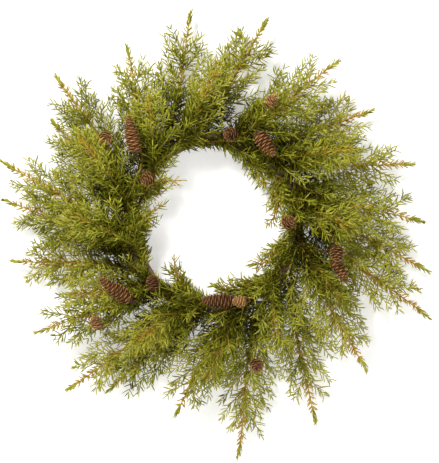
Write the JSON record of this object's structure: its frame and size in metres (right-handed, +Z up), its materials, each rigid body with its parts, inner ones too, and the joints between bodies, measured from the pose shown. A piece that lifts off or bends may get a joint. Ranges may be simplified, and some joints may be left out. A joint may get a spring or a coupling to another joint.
{
  "type": "evergreen wreath",
  "caption": "Hanging wreath of feathery evergreen sprays swept clockwise round a twisted vine ring, with long and small brown cones wired among them",
  "frame": {"origin": "The point under the top of the vine ring where a hook or nail bears, midway through the ring's thickness", "axes": "+Z up as the wreath hangs, +Y from the front of the wreath to the wall, +X to the right seen from the front"},
  "size_m": [0.5684, 0.0864, 0.5967],
  "materials": {
    "vine_bark": "rough fibrous brown vine bark",
    "florist_wire": "dull green enamelled wire",
    "larch_foliage": "satin yellow-green needles on golden-brown shoots",
    "cone_scales": "dry matte red-brown overlapping scales with paler rims"
  },
  "bodies": {
    "root": {"vine_cane_1": "vine_bark", "vine_cane_2": "vine_bark", "vine_cane_3": "vine_bark", "binding_wire": "florist_wire", "outer_spray_01": "larch_foliage", "outer_spray_02": "larch_foliage", "outer_spray_03": "larch_foliage", "outer_spray_04": "larch_foliage", "outer_spray_05": "larch_foliage", "outer_spray_06": "larch_foliage", "outer_spray_07": "larch_foliage", "outer_spray_08": "larch_foliage", "outer_spray_09": "larch_foliage", "outer_spray_10": "larch_foliage", "outer_spray_11": "larch_foliage", "outer_spray_12": "larch_foliage", "outer_spray_13": "larch_foliage", "outer_spray_14": "larch_foliage", "outer_spray_15": "larch_foliage", "outer_spray_16": "larch_foliage", "outer_spray_17": "larch_foliage", "outer_spray_18": "larch_foliage", "outer_spray_19": "larch_foliage", "outer_spray_20": "larch_foliage", "outer_spray_21": "larch_foliage", "front_spray_01": "larch_foliage", "front_spray_02": "larch_foliage", "front_spray_03": "larch_foliage", "front_spray_04": "larch_foliage", "front_spray_05": "larch_foliage", "front_spray_06": "larch_foliage", "front_spray_07": "larch_foliage", "front_spray_08": "larch_foliage", "front_spray_09": "larch_foliage", "front_spray_10": "larch_foliage", "front_spray_11": "larch_foliage", "front_spray_12": "larch_foliage", "inner_spray_01": "larch_foliage", "inner_spray_02": "larch_foliage", "inner_spray_03": "larch_foliage", "inner_spray_04": "larch_foliage", "inner_spray_05": "larch_foliage", "inner_spray_06": "larch_foliage", "inner_spray_07": "larch_foliage", "long_cone_01": "cone_scales", "long_cone_02": "cone_scales", "long_cone_03": "cone_scales", "long_cone_04": "cone_scales", "long_cone_05": "cone_scales", "small_cone_01": "cone_scales", "small_cone_02": "cone_scales", "small_cone_03": "cone_scales", "small_cone_04": "cone_scales", "small_cone_05": "cone_scales", "small_cone_06": "cone_scales", "small_cone_07": "cone_scales", "small_cone_08": "cone_scales", "small_cone_09": "cone_scales", "small_cone_10": "cone_scales"}
  },
  "joints": []
}
